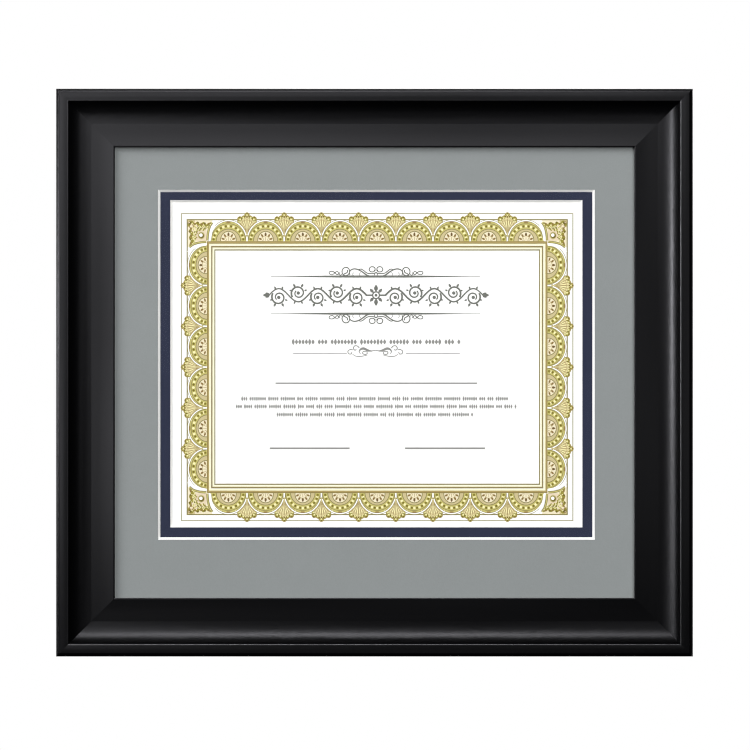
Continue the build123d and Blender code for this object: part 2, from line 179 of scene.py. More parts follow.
class Shader:
    """A small helper that lays out one node material round a Principled surface."""

    def __init__(self, name):
        self.material = bpy.data.materials.new(name)
        self.material.use_nodes = True
        self.tree = self.material.node_tree
        self.tree.nodes.clear()
        self.out = self.tree.nodes.new("ShaderNodeOutputMaterial")
        self.bsdf = self.tree.nodes.new("ShaderNodeBsdfPrincipled")
        self.link(self.bsdf.outputs[0], self.out.inputs["Surface"])
        coords = self.tree.nodes.new("ShaderNodeTexCoord")
        self.place, self.normal = coords.outputs["Object"], coords.outputs["Normal"]

    def link(self, a, b):
        self.tree.links.new(a, b)

    def feed(self, socket, value):
        if hasattr(value, "links"):
            self.link(value, socket)
        elif isinstance(value, (tuple, list)) and len(value) == 3 and socket.type == "RGBA":
            socket.default_value = (*value, 1.0)
        else:
            socket.default_value = value

    def set(self, **sockets):
        for name, value in sockets.items():
            self.feed(self.bsdf.inputs[name.replace("_", " ")], value)
        return self

    def math(self, op, a, b=0.0, c=0.0, clamp=False):
        node = self.tree.nodes.new("ShaderNodeMath")
        node.operation = op
        node.use_clamp = clamp
        for socket, value in zip(node.inputs, (a, b, c)):
            self.feed(socket, value)
        return node.outputs[0]

    def split(self, vector):
        node = self.tree.nodes.new("ShaderNodeSeparateXYZ")
        self.feed(node.inputs[0], vector)
        return node.outputs

    def stretch(self, x, y, z, offset=(0.0, 0.0, 0.0)):
        node = self.tree.nodes.new("ShaderNodeMapping")
        self.link(self.place, node.inputs["Vector"])
        node.inputs["Scale"].default_value = (x, y, z)
        node.inputs["Location"].default_value = offset
        return node.outputs[0]

    def noise(self, scale, detail=4.0, rough=0.5, vector=None, distortion=0.0):
        node = self.tree.nodes.new("ShaderNodeTexNoise")
        self.link(vector or self.place, node.inputs["Vector"])
        node.inputs["Scale"].default_value = scale
        node.inputs["Detail"].default_value = detail
        node.inputs["Roughness"].default_value = rough
        node.inputs["Distortion"].default_value = distortion
        return node.outputs[0]

    def voronoi(self, scale, vector=None, feature="F1", randomness=1.0):
        node = self.tree.nodes.new("ShaderNodeTexVoronoi")
        node.feature = feature
        self.link(vector or self.place, node.inputs["Vector"])
        node.inputs["Scale"].default_value = scale
        node.inputs["Randomness"].default_value = randomness
        return node.outputs[0]

    def wave(self, scale, vector=None, direction="X", distortion=0.0, detail=2.0, detail_scale=1.0):
        node = self.tree.nodes.new("ShaderNodeTexWave")
        node.wave_type = "BANDS"
        node.bands_direction = direction
        self.link(vector or self.place, node.inputs["Vector"])
        node.inputs["Scale"].default_value = scale
        node.inputs["Distortion"].default_value = distortion
        node.inputs["Detail"].default_value = detail
        node.inputs["Detail Scale"].default_value = detail_scale
        return node.outputs["Fac"]

    def ramp(self, fac, *stops):
        """stops are (position, colour); a colour is linear RGB(A) or one grey value."""
        node = self.tree.nodes.new("ShaderNodeValToRGB")
        self.feed(node.inputs[0], fac)
        points = node.color_ramp.elements
        while len(points) < len(stops):
            points.new(0.5)
        for point, (at, colour) in zip(points, stops):
            point.position = at
            if isinstance(colour, (int, float)):
                colour = (colour, colour, colour, 1.0)
            point.color = colour if len(colour) == 4 else (*colour, 1.0)
        return node.outputs[0]

    def range(self, value, low, high, to_low=0.0, to_high=1.0, smooth=False):
        node = self.tree.nodes.new("ShaderNodeMapRange")
        if smooth:
            node.interpolation_type = "SMOOTHSTEP"
        self.feed(node.inputs["Value"], value)
        node.inputs["From Min"].default_value = low
        node.inputs["From Max"].default_value = high
        node.inputs["To Min"].default_value = to_low
        node.inputs["To Max"].default_value = to_high
        return node.outputs[0]

    def mix(self, fac, a, b):
        node = self.tree.nodes.new("ShaderNodeMix")
        node.data_type = "RGBA"
        self.feed(node.inputs[0], fac)
        self.feed(node.inputs[6], a)
        self.feed(node.inputs[7], b)
        return node.outputs[2]

    def bump(self, height, depth, strength=1.0, on=None):
        """depth is the relief in metres that a height of 0 to 1 stands for."""
        node = self.tree.nodes.new("ShaderNodeBump")
        node.inputs["Strength"].default_value = strength
        node.inputs["Distance"].default_value = depth
        self.feed(node.inputs["Height"], height)
        if on is not None:
            self.link(on, node.inputs["Normal"])
        return node.outputs[0]

    def give(self, *names):
        for name in names:
            for k in range(len(nodes[name].material_slots)):
                nodes[name].material_slots[k].material = self.material
        return self


LACQUER = (0.0008, 0.0008, 0.0010)


def rail_shader(name, along):
    """Satin black lacquer on the moulding, bare pine on its back. along is the axis of the grain."""
    s = Shader(name)
    if along == "x":
        fine, rings = s.stretch(6, 260, 260), s.stretch(1.6, 42, 42)
    else:
        fine, rings = s.stretch(260, 260, 6), s.stretch(42, 42, 1.6)
    # pine: growth rings drawn out along the rail, pores, and a little colour drift
    band = s.noise(1.0, 3.0, 0.55, rings, 0.6)
    lines = s.math("FRACT", s.math("MULTIPLY", band, 9.0))
    pores = s.noise(1.0, 5.0, 0.6, fine)
    wood = s.mix(s.ramp(lines, (0.0, 0.0), (0.55, 0.25), (0.86, 1.0), (1.0, 0.15)),
                 linear(214, 178, 128), linear(184, 138, 86))
    wood = s.mix(s.range(pores, 0.35, 0.75, 0.0, 0.45), wood, linear(150, 108, 64))
    wood = s.mix(s.range(s.noise(9.0, 2.0), 0.3, 0.7, 0.0, 0.3), wood, linear(226, 192, 140))
    # the back faces are bare, with lacquer creeping over their outer edge
    back = s.range(s.split(s.normal)[1], 0.55, 0.75)
    x, _, z = s.split(s.place)
    side = s.math("SUBTRACT", FRAME_HALF_W, s.math("ABSOLUTE", x))
    ends = s.math("SUBTRACT", FRAME_HALF_H, s.math("ABSOLUTE", s.math("SUBTRACT", z, MIDDLE_Z)))
    edge = s.math("MINIMUM", side, ends)
    creep = s.math("ADD", edge, s.range(s.noise(60.0, 7.0, 0.62), 0.3, 0.7, -0.0013, 0.0013))
    bare = s.math("MULTIPLY", back, s.range(creep, 0.0012, 0.0030, smooth=True))
    seam = s.math("ABSOLUTE", s.math("SUBTRACT", side, ends))
    wood = s.mix(s.range(seam, 0.00008, 0.00030, 0.75, 0.0), wood, linear(88, 58, 34))
    wood = s.mix(s.range(s.math("ADD", seam, s.range(pores, 0.3, 0.7, -0.002, 0.002)), 0.0, 0.0025, 0.25, 0.0),
                 wood, linear(150, 108, 66))
    grain = s.noise(1.0, 6.0, 0.55, fine)
    peel = s.noise(420.0, 3.0, 0.5)
    gloss = s.math("ADD", s.range(grain, 0.3, 0.7, 0.325, 0.360), s.range(peel, 0.3, 0.7, -0.012, 0.012))
    # painted highlights: the specular level is lowered over the outer arris to dim the highlight there, and raised in a
    # band along the rim's inner arris to brighten the thin highlight line there
    outer_highlight_dimming = s.math("MULTIPLY", s.range(edge, 0.0018, 0.0024, 1.0, 0.0),
                   s.range(s.split(s.normal)[1], -0.35, -0.15, 1.0, 0.0))
    inner_highlight_boost = s.range(s.math("ABSOLUTE", s.math("SUBTRACT", edge, 0.00705)), 0.0003, 0.0005, 0.5, 0.0)
    shine = s.math("SUBTRACT", s.math("ADD", 0.5, inner_highlight_boost), s.math("MULTIPLY", outer_highlight_dimming, 0.28))
    s.set(Base_Color=s.mix(bare, LACQUER, wood),
          Roughness=s.math("ADD", s.math("MULTIPLY", bare, 0.45), gloss),
          IOR=1.5, Specular_IOR_Level=shine)
    height = s.math("ADD", s.math("MULTIPLY", grain, s.range(bare, 0.0, 1.0, 0.18, 1.0)),
                    s.math("MULTIPLY", peel, 0.10))
    s.set(Normal=s.bump(height, 0.00006))
    return s


rail_shader("lacquered_rail_level", "x").give("rail_top", "rail_bottom")
rail_shader("lacquered_rail_upright", "z").give("rail_left", "rail_right")


def mat_shader(name, face, core, drift):
    """Mat board: a coloured, lightly fibrous face and a white core that shows at the cut bevel."""
    s = Shader(name)
    tilt = s.math("ABSOLUTE", s.split(s.normal)[1])
    cut = s.math("SUBTRACT", 1.0, s.range(tilt, 0.80, 0.95))
    fibre = s.noise(900.0, 5.0, 0.65)
    cloud = s.noise(45.0, 3.0, 0.5)
    threads = s.noise(1.0, 3.0, 0.6, s.stretch(2600, 2600, 420))
    tone = s.math("ADD", s.range(fibre, 0.3, 0.7, -drift, drift),
                  s.math("ADD", s.range(cloud, 0.3, 0.7, -drift * 0.5, drift * 0.5),
                         s.range(threads, 0.3, 0.7, -drift * 0.5, drift * 0.5)))
    shade = s.math("ADD", 0.5, s.math("MULTIPLY", tone, 5.0), clamp=True)
    low = tuple(c * 0.9 for c in face[:3])
    high = tuple(min(1.0, c * 1.1) for c in face[:3])
    surface = s.mix(shade, low, high)
    speck = s.range(s.noise(1400.0, 2.0), 0.30, 0.42, 0.93, 1.0)
    inside = s.mix(speck, tuple(c * 0.93 for c in core[:3]), core[:3])
    s.set(Base_Color=s.mix(cut, surface, inside), Roughness=0.92, IOR=1.45, Specular_IOR_Level=0.08)
    s.set(Normal=s.bump(s.math("ADD", fibre, s.math("MULTIPLY", threads, 0.6)), 0.00003))
    return s


GREY_FACE, NAVY_FACE, CORE = (0.217, 0.232, 0.233), (0.0245, 0.0285, 0.0515), (0.86, 0.855, 0.84)
mat_shader("mat_board_grey", GREY_FACE, CORE, 0.020).give("top_mat")
mat_shader("mat_board_navy", NAVY_FACE, CORE, 0.030).give("bottom_mat")


def paper_shader(name, colour, fibres=0.02, depth=0.00001):
    s = Shader(name)
    pulp = s.noise(700.0, 6.0, 0.6)
    cloud = s.noise(60.0, 3.0, 0.5)
    tone = s.math("ADD", s.range(pulp, 0.3, 0.7, -fibres, fibres),
                  s.range(cloud, 0.3, 0.7, -fibres * 0.5, fibres * 0.5))
    mixed = s.mix(s.math("ADD", 0.5, s.math("MULTIPLY", tone, 5.0), clamp=True),
                  tuple(c * 0.9 for c in colour[:3]), tuple(min(1.0, c * 1.1) for c in colour[:3]))
    s.set(Base_Color=mixed, Roughness=0.8, IOR=1.45, Specular_IOR_Level=0.1)
    s.set(Normal=s.bump(pulp, depth))
    return s


paper_shader("sheet_paper_stock", (0.84, 0.835, 0.825), 0.006).give("certificate")
paper_shader("hinge_tissue", (0.80, 0.79, 0.74), 0.03, 0.00002).give("hinge_tape_left", "hinge_tape_right")
paper_shader("double_tape", (0.74, 0.72, 0.60), 0.02).give("mat_tape")


def foam_shader():
    """Foam board: paper faces and a cellular core at its cut edges."""
    s = Shader("foam_board")
    face = s.range(s.math("ABSOLUTE", s.split(s.normal)[1]), 0.6, 0.8)
    cells = s.voronoi(1100.0)
    paper = s.mix(s.noise(500.0, 4.0), (0.78, 0.78, 0.76), (0.84, 0.84, 0.82))
    foam = s.mix(s.range(cells, 0.1, 0.6), (0.74, 0.75, 0.76), (0.86, 0.87, 0.88))
    s.set(Base_Color=s.mix(face, foam, paper), Roughness=0.85,
          Normal=s.bump(s.math("MULTIPLY", cells, s.math("SUBTRACT", 1.0, face)), 0.0001))
    return s


foam_shader().give("mount_board")


def hardboard_shader():
    """Brown hardboard: pressed fibres and the screen pattern of its rough side."""
    s = Shader("pressed_hardboard")
    fibre = s.noise(260.0, 8.0, 0.68, None, 0.4)
    flecks = s.noise(1.0, 4.0, 0.6, s.stretch(900, 900, 240))
    flecks_b = s.noise(1.0, 4.0, 0.6, s.stretch(240, 900, 900))
    cloud = s.noise(14.0, 4.0, 0.55)
    brown = s.ramp(s.range(fibre, 0.30, 0.70), (0.0, linear(112, 80, 53)), (0.5, linear(139, 103, 70)),
                   (1.0, linear(165, 129, 92)))
    brown = s.mix(s.range(flecks, 0.56, 0.72, 0.0, 0.5), brown, linear(190, 156, 112))
    brown = s.mix(s.range(flecks_b, 0.58, 0.74, 0.0, 0.45), brown, linear(74, 50, 32))
    brown = s.mix(s.range(cloud, 0.35, 0.65, 0.0, 0.16), brown, linear(118, 84, 55))
    mesh = s.math("MULTIPLY", s.wave(430.0, None, "X", 0.4), s.wave(430.0, None, "Z", 0.4))
    s.set(Base_Color=s.mix(s.range(mesh, 0.0, 0.8, 0.22, 0.0), brown, linear(70, 46, 30)),
          Roughness=s.range(fibre, 0.3, 0.7, 0.62, 0.80), IOR=1.45, Specular_IOR_Level=0.35)
    s.set(Normal=s.bump(s.math("ADD", s.math("MULTIPLY", mesh, 0.7), s.math("MULTIPLY", fibre, 0.8)), 0.00016))
    return s


hardboard_shader().give("backing_board")


def metal_shader(name, base, bright, rough, stain=None, scratch=(1400, 1400, 90), tarnish=0.25):
    """Plated sheet metal: rolling marks, handling scratches and clouds of tarnish."""
    s = Shader(name)
    rolled = s.noise(1.0, 3.0, 0.6, s.stretch(*scratch))
    cloud = s.noise(110.0, 5.0, 0.6)
    specks = s.noise(900.0, 3.0, 0.5)
    colour = s.mix(s.range(rolled, 0.3, 0.7), base, bright)
    colour = s.mix(s.range(cloud, 0.45, 0.75, 0.0, tarnish), colour, stain or tuple(c * 0.55 for c in base[:3]))
    s.set(Base_Color=colour, Metallic=1.0,
          Roughness=s.math("ADD", s.range(cloud, 0.3, 0.7, rough - 0.05, rough + 0.09),
                           s.range(specks, 0.3, 0.7, -0.03, 0.03)))
    s.set(Normal=s.bump(s.math("ADD", rolled, s.math("MULTIPLY", specks, 0.3)), 0.000012))
    return s


ZINC, ZINC_BRIGHT = (0.50, 0.51, 0.51), (0.66, 0.66, 0.65)
for side, axis in (("top", 0), ("bottom", 0), ("left", 1), ("right", 1)):
    pair = ("left", "right") if axis == 0 else ("upper", "lower")
    metal_shader("zinc_button_" + side, ZINC, ZINC_BRIGHT, 0.30, (0.40, 0.37, 0.30),
                 (1500, 1500, 110) if axis == 0 else (110, 1500, 1500)).give(
                     *[f"turn_button_{side}_{p}" for p in pair])
metal_shader("zinc_screws", (0.56, 0.56, 0.55), (0.70, 0.70, 0.68), 0.24, (0.33, 0.31, 0.27)).give("turn_button_screws")
metal_shader("brassed_hanger", (0.66, 0.50, 0.24), (0.80, 0.64, 0.34), 0.27, (0.34, 0.23, 0.10),
             (90, 1400, 1400), 0.4).give("sawtooth_hanger")
metal_shader("brassed_pins", (0.70, 0.55, 0.28), (0.82, 0.68, 0.38), 0.25, (0.34, 0.23, 0.10)).give("hanger_pins")
metal_shader("blued_nails", (0.20, 0.21, 0.24), (0.36, 0.37, 0.39), 0.36, (0.16, 0.10, 0.06)).give(
    *[f"corner_nails_{a}_{b}" for a in ("top", "bottom") for b in ("left", "right")])


def rubber_shader():
    s = Shader("bumper_rubber")
    grain = s.noise(900.0, 4.0, 0.6)
    dust = s.noise(160.0, 5.0, 0.65)
    s.set(Base_Color=s.mix(s.range(dust, 0.48, 0.72, 0.0, 0.35), (0.016, 0.016, 0.017), (0.10, 0.098, 0.09)),
          Roughness=s.range(grain, 0.3, 0.7, 0.50, 0.66), IOR=1.5, Normal=s.bump(grain, 0.00003))
    return s


rubber_shader().give("bumper_left", "bumper_right")


def glazing_shader():
    """Clear low-reflection glazing: glass to the eye, and open to the light that falls on the sheet."""
    s = Shader("clear_glazing")
    s.set(Base_Color=(0.985, 0.995, 0.99, 1.0), Roughness=0.0, IOR=1.12, Transmission_Weight=1.0)
    clear = s.tree.nodes.new("ShaderNodeBsdfTransparent")
    path = s.tree.nodes.new("ShaderNodeLightPath")
    either = s.tree.nodes.new("ShaderNodeMixShader")
    s.link(path.outputs["Is Camera Ray"], either.inputs["Fac"])
    s.link(clear.outputs[0], either.inputs[1])
    s.link(s.bsdf.outputs[0], either.inputs[2])
    s.link(either.outputs[0], s.out.inputs["Surface"])
    return s


glazing_shader().give("glazing")


# ---------------------------------------------------------------- print
STEP = 0.022e-3                   # the inks lie in flat layers this far apart, in order of level


class Ink:
    """All the slabs of one colour: thin closed solids that lie on the sheet."""

    def __init__(self, name, colour, blend=0.05):
        self.name, self.colour, self.blend = name, colour, blend
        self.verts, self.faces = [], []

    def points(self, ring, level):
        start = len(self.verts)
        y = SHEET_Y - level * STEP
        self.verts += [(ART_X + a * UNIT, y, ART_Z + b * UNIT) for a, b in ring]
        return list(range(start, start + len(ring)))

    def slab(self, ring, level):
        """A filled outline. A page point is (a, b): units to the right and up from the border's middle."""
        area = sum(p[0] * q[1] - q[0] * p[1] for p, q in zip(ring, ring[1:] + ring[:1]))
        if area < 0:
            ring = ring[::-1]
        f, k = self.points(ring, level), self.points(ring, 0)
        n = len(ring)
        self.faces += [tuple(f), tuple(k[::-1])]
        self.faces += [(f[i], k[i], k[(i + 1) % n], f[(i + 1) % n]) for i in range(n)]

    def strip(self, right, left, level, closed=False):
        """A band between two rows of points, seen along its run as the right row and the left row."""
        fr, fl = self.points(right, level), self.points(left, level)
        kr, kl = self.points(right, 0), self.points(left, 0)
        n = len(right)
        for i in range(n if closed else n - 1):
            j = (i + 1) % n
            self.faces += [(fr[i], fr[j], fl[j], fl[i]), (kl[i], kl[j], kr[j], kr[i]),
                           (fr[i], kr[i], kr[j], fr[j]), (fl[j], kl[j], kl[i], fl[i])]
        if not closed:
            self.faces += [(fl[0], kl[0], kr[0], fr[0]), (fr[-1], kr[-1], kl[-1], fl[-1])]

    def line(self, path, width, level, closed=False):
        """A stroke along a path. width is one number, or a function of the run from 0 to 1."""
        n = len(path)
        right, left = [], []
        for i, (a, b) in enumerate(path):
            p = path[i - 1] if closed or i else path[0]
            q = path[(i + 1) % n] if closed or i < n - 1 else path[-1]
            da, db = q[0] - p[0], q[1] - p[1]
            size = math.hypot(da, db) or 1.0
            half = (width(i / (n - 1)) if callable(width) else width) / 2
            right.append((a + db / size * half, b - da / size * half))
            left.append((a - db / size * half, b + da / size * half))
        self.strip(right, left, level, closed)

    def frame(self, half_a, half_b, width, level, width_b=None):
        """A mitred rectangle of line, centred on the page."""
        wa, wb = width / 2, (width_b or width) / 2
        def ring(s):
            x, y = half_a + s * wa, half_b + s * wb
            return [(-x, -y), (x, -y), (x, y), (-x, y)]
        self.strip(ring(1), ring(-1), level, True)

    def dot(self, a, b, r, level, rb=None, sides=10):
        self.slab([(a + r * math.cos(math.tau * i / sides), b + (rb or r) * math.sin(math.tau * i / sides))
                   for i in range(sides)], level)

    def build(self):
        mesh = bpy.data.meshes.new("print_" + self.name)
        mesh.from_pydata(self.verts, [], self.faces)
        mesh.update()
        s = Shader("ink_" + self.name)
        mottle = s.noise(2400.0, 3.0, 0.6)
        cloud = s.noise(180.0, 3.0, 0.5)
        tone = s.math("ADD", s.range(mottle, 0.3, 0.7, 0.0, 0.7), s.range(cloud, 0.3, 0.7, 0.0, 0.3))
        base = [min(0.9, c / LIT) for c in linear(*self.colour)[:3]]
        s.set(Base_Color=s.mix(tone, tuple(c * (1 - self.blend) for c in base),
                               tuple(min(0.95, c * (1 + self.blend)) for c in base)),
              Roughness=s.range(mottle, 0.3, 0.7, 0.66, 0.78), IOR=1.45, Specular_IOR_Level=0.1,
              Normal=s.bump(mottle, 0.000008))
        mesh.materials.append(s.material)
        piece = bpy.data.objects.new("print_" + self.name, mesh)
        scene.collection.objects.link(piece)
        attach(piece, "root")


LIT = 1.28                        # how much brighter than white the lamps make white paper
INKS = {name: Ink(name, colour) for name, colour in {
    "line": (148, 139, 90), "hairline": (174, 171, 140), "gold": (179, 160, 105), "olive": (158, 148, 66),
    "moss": (207, 197, 121), "dark": (122, 108, 50), "pale": (254, 247, 190), "tan": (212, 197, 150),
    "cream": (248, 237, 205), "white": (266, 266, 262), "fan": (216, 200, 146), "straw": (258, 254, 220), "bronze": (150, 137, 94),
    "brown": (150, 124, 74), "blush": (238, 220, 190), "umber": (116, 92, 56), "grey": (119, 121, 115), "pencil": (150, 150, 147),
}.items()}
line, hairline, gold, olive, moss, dark, pale, tan, cream, white, fan, straw, bronze, brown, blush, umber, grey, pencil = INKS.values()


def arc(a, b, ra, rb, t0, t1, n):
    """Points on an ellipse; angles in degrees from straight up, growing to the right."""
    return [(a + ra * math.sin(math.radians(t0 + (t1 - t0) * i / n)),
             b + rb * math.cos(math.radians(t0 + (t1 - t0) * i / n))) for i in range(n + 1)]


def smooth(points, n=6, closed=False):
    """A smooth path through the points."""
    last = len(points) if closed else len(points) - 1
    out = []
    for i in range(last):
        if closed:
            p = [points[(i + k - 1) % len(points)] for k in range(4)]
        else:
            p = [points[max(0, min(len(points) - 1, i + k - 1))] for k in range(4)]
        for k in range(n):
            t = k / n
            out.append(tuple(0.5 * (2 * p[1][d] + (p[2][d] - p[0][d]) * t
                                    + (2 * p[0][d] - 5 * p[1][d] + 4 * p[2][d] - p[3][d]) * t * t
                                    + (3 * p[1][d] - p[0][d] - 3 * p[2][d] + p[3][d]) * t ** 3) for d in (0, 1)))
    if not closed:
        out.append(points[-1])
    return out


def seat(side, middle, foot, along=1.0, out=1.0):
    """Places a motif on one side of the border: s runs along it and h outward from the motif's foot."""
    def put(s, h):
        u, v = middle + s * along, foot + h * out
        return {"top": (u, v), "bottom": (u, -v), "right": (v, u), "left": (-v, u)}[side]
    return put


def laid(put, points):
    return [put(*p) for p in points]


def arch(put, k):
    """One scallop of the lace: an outlined arch, a beaded band, a plain band and a leafed half disc."""
    k *= 0.5
    moss.slab(laid(put, arc(0, 0, 18.0, 20.5, -90, 90, 24)), 1)
    tan.slab(laid(put, arc(0, 0, 12.0, 12.0, -90, 90, 18)), 2)
    cream.slab(laid(put, arc(0, 1.2, 7.6, 8.4, -96, 96, 16)), 3)
    line.line(laid(put, arc(0, 1.2, 7.8, 8.7, -97, 97, 20)), 0.8, 4)
    tan.line(laid(put, arc(0, 0.6, 4.4, 4.8, -80, 80, 12)), 0.9, 3.5)
    line.line(laid(put, arc(0, 0, 12.2, 12.2, -89, 89, 22)), 0.75, 4)
    line.line(laid(put, arc(0, 0, 17.3, 17.6, -86, 86, 28)), 0.65, 3)
    for t in (-82, -67, -49, -30, -10, 10, 30, 49, 67, 82):
        x, y = 15.0 * math.sin(math.radians(t)), 15.2 * math.cos(math.radians(t))
        olive.dot(*put(x, y), 1.45, 3, sides=8)
        dark.dot(*put(x + 0.1, y - 0.2), 0.9 if abs(t) < 40 else 0.65, 4, sides=6)
    for t in (-75, -58, -40, -20, 0, 20, 40, 58, 75):
        pale.dot(*put(14.9 * math.sin(math.radians(t)), 15.1 * math.cos(math.radians(t))), 1.35, 2, sides=8)
    for s in (-1, 1):
        for t in (24, 50):
            pale.dot(*put(s * 18.1 * math.sin(math.radians(t)), 19.0 * math.cos(math.radians(t))), 0.5, 4, sides=6)
    brown.slab(laid(put, [(-2.3, 18.9), (-1.2, 18.5), (1.2, 18.5), (2.3, 18.9), (1.3, 20.3), (0, 21.1), (-1.3, 20.3)]), 6)
    # five leaves and the stalks under them
    for s, h, turn, size in ((0, 6.9, 0, 1.4), (-3.5, 5.7, -30, 1.3), (3.5, 5.7, 30, 1.3),
                             (-5.5, 2.5, -60, 1.25), (5.5, 2.5, 60, 1.25)):
        c, d = math.cos(math.radians(turn)), math.sin(math.radians(turn))
        leaf = [(0, 1.6), (0.75, 0.4), (0.7, -0.6), (0, -1.4), (-0.7, -0.6), (-0.75, 0.4)]
        (umber if turn == 0 else brown).slab(
            laid(put, [(s + size * (x * c + y * d), h + size * (y * c - x * d)) for x, y in leaf]), 5)
        umber.dot(*put(s * 0.96, h * 0.94), 0.42, 6, sides=6)
        gold.line(laid(put, [(s * 0.78, h * 0.62), (s * 0.45, 0.6)]), 0.45, 4)
    # the white outline between two dark ones
    line.line(laid(put, arc(0, 0, 18.45, 20.7, -72, 72, 30)), 2.0, 5 + k)
    white.line(laid(put, arc(0, 0, 18.45, 20.7, -73, 73, 30)), 1.12, 6.5 + k)
    moss.strip(laid(put, [(-18.1, -0.9), (18.1, -0.9)])[::-1], laid(put, [(-18.1, 0.1), (18.1, 0.1)])[::-1], 0.5)


def post(put):
    """The white stem between two arches."""
    line.line(laid(put, [(0, 0.4), (0, 6.6)]), 2.5, 5.25)
    white.line(laid(put, [(0, -0.3), (0, 5.0)]), 1.55, 7.25)


FAN = [(0, 4.6), (0.6, 6.5), (1.3, 9.5), (2.9, 12.5), (5.4, 15.4), (7.9, 17.9), (9.4, 20.0), (9.7, 21.8), (9.2, 23.6),
       (7.8, 24.8), (6.4, 24.7), (5.3, 24.2), (4.4, 25.0), (3.4, 25.7), (2.6, 26.2), (2.1, 27.5), (1.1, 28.5), (0, 28.8)]


def palmette(put):
    """A ribbed fan with a lobed top, over the stem."""
    both = FAN + [(-s, h) for s, h in FAN[-2:0:-1]]
    fan.slab(laid(put, both), 3)
    gold.line(laid(put, FAN[4:] + [(-s, h) for s, h in FAN[-2:3:-1]]), 0.55, 8)
    fan.line(laid(put, [(0, 4.2), (0, 8.0), (0, 12.0)]), lambda t: 0.7 + 1.4 * t, 9)
    for s, h in ((0, 22.0), (2.6, 21.6), (5.0, 20.3), (7.2, 18.6)):
        for sign in ((-1, 1) if s else (1,)):
            brown.line(laid(put, smooth([(sign * s * 0.06, 9.0), (sign * s * 0.42, 14.0), (sign * s, h)], 4)),
                       0.36, 10 if s == 0 else 4.5)
    for s, h in ((1.3, 20.6), (3.6, 19.4), (5.7, 17.6)):
        for sign in (-1, 1):
            pale.line(laid(put, smooth([(sign * s * 0.25, 11.0), (sign * s * 0.6, 15.0), (sign * s, h)], 3)),
                      lambda t: 0.4 + 0.6 * t, 4)
    for s, h, r in ((0, 26.9, 2.1), (3.7, 24.0, 1.75), (7.2, 22.4, 2.3), (8.3, 20.1, 1.6)):
        for sign in ((-1, 1) if s else (1,)):
            olive.dot(*put(sign * s, h), r, 4.75 if s else 6, sides=10)
            moss.dot(*put(sign * s, h - 0.3), r * 0.62, 9, sides=8)
            pale.dot(*put(sign * s * 0.95, h - 0.7), r * 0.36, 10, sides=6)
    for s, h in ((0, 24.3), (2.0, 25.0), (5.3, 22.6), (7.6, 23.6), (0, 27.6)):
        for sign in ((-1, 1) if s else (1,)):
            dark.dot(*put(sign * s, h), 0.75, 11, sides=6)
    for s, h in ((1.5, 22.6), (4.1, 21.9), (6.4, 19.6)):
        for sign in (-1, 1):
            pale.dot(*put(sign * s, h), 0.9, 5, sides=8)
            gold.dot(*put(sign * s, h), 0.45, 6.25, sides=6)


for side in ("top", "bottom"):
    for k in range(9):
        arch(seat(side, (k - 4) * 37.2, 125.8), k % 2)
    for k in range(8):
        post(seat(side, (k - 3.5) * 37.2, 125.8))
        palmette(seat(side, (k - 3.5) * 37.2, 125.8))
for side in ("left", "right"):
    for k in range(6):
        arch(seat(side, (k - 2.5) * 40.8, 170.05, 1.097, 0.91), k % 2)
    for k in range(5):
        post(seat(side, (k - 2) * 40.8, 170.05, 1.0, 0.91))
        palmette(seat(side, (k - 2) * 40.8, 170.05, 1.03, 0.91))

# straight lines of the border, from the outside in
hairline.frame(195.65, 153.5, 1.0, 2)
line.frame(190.0, 147.45, 1.15, 2.5)
gold.frame(169.2, 124.65, 1.9, 12, 2.4)
straw.frame(167.3, 122.55, 1.9, 1)
bronze.frame(165.4, 120.45, 1.4, 2, 1.7)
straw.frame(163.9, 118.85, 1.5, 1)
line.frame(162.35, 117.15, 1.05, 2, 1.25)
dark.frame(169.75, 125.3, 0.35, 13)


